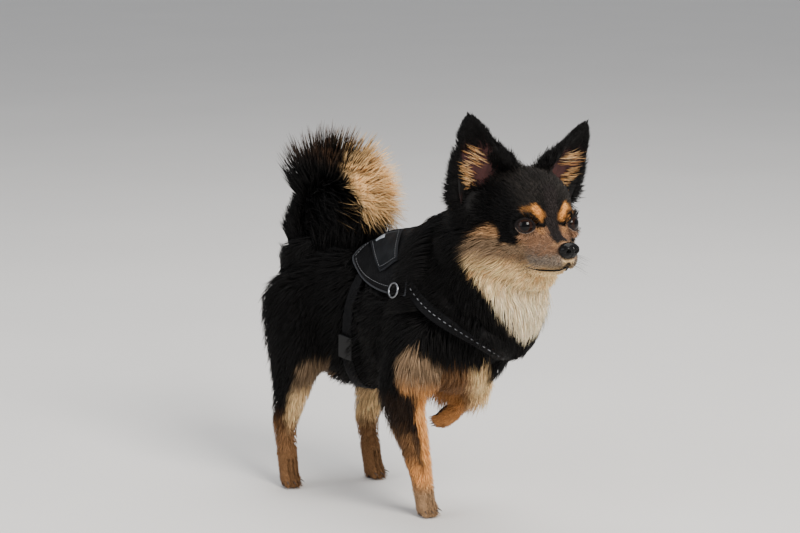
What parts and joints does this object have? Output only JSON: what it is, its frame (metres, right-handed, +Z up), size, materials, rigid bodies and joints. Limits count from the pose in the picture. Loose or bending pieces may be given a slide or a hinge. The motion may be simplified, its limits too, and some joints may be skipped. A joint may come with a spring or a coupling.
{
  "type": "long-coated chihuahua dog, still model",
  "caption": "Life-size still model of a long-coated black, tan and cream chihuahua in mid-stride with a raised forepaw, tail curled over the back, wearing a plain harness.",
  "frame": {"origin": "middle of the bounding box's base, on the floor the dog stands on", "axes": "+X from tail to head along the body, +Y to the dog's left, +Z up"},
  "size_m": [0.3634, 0.1276, 0.3434],
  "materials": {
    "coat": "long soft fur, black with tan and cream markings",
    "ear": "thin furred ear leather",
    "eye": "glossy dark brown",
    "nose_leather": "moist, finely pebbled",
    "claw": "dark horn",
    "harness_fabric": "padded black weave",
    "label": "plain grey loop patch",
    "ring_steel": "bright steel",
    "buckle_plastic": "moulded"
  },
  "bodies": {
    "root": {"belly_buckle": "buckle_plastic", "belly_strap": "harness_fabric", "chest_strap": "harness_fabric", "claw_fore_left_1": "claw", "claw_fore_left_2": "claw", "claw_fore_left_3": "claw", "claw_fore_left_4": "claw", "claw_fore_right_1": "claw", "claw_fore_right_2": "claw", "claw_fore_right_3": "claw", "claw_fore_right_4": "claw", "claw_hind_left_1": "claw", "claw_hind_left_2": "claw", "claw_hind_left_3": "claw", "claw_hind_left_4": "claw", "claw_hind_right_1": "claw", "claw_hind_right_2": "claw", "claw_hind_right_3": "claw", "claw_hind_right_4": "claw", "ear_left": "ear", "ear_right": "ear", "eye_left": "eye", "eye_right": "eye", "foreleg_left": "coat", "foreleg_right": "coat", "forepaw_left": "coat", "forepaw_right": "coat", "head": "coat", "hindleg_left": "coat", "hindleg_right": "coat", "hindpaw_left": "coat", "hindpaw_right": "coat", "label_left": "label", "label_right": "label", "lead_ring": "ring_steel", "neck": "coat", "nose": "nose_leather", "saddle": "harness_fabric", "strap_ring_left": "ring_steel", "strap_ring_right": "ring_steel", "tail": "coat", "trunk": "coat"}
  },
  "joints": []
}
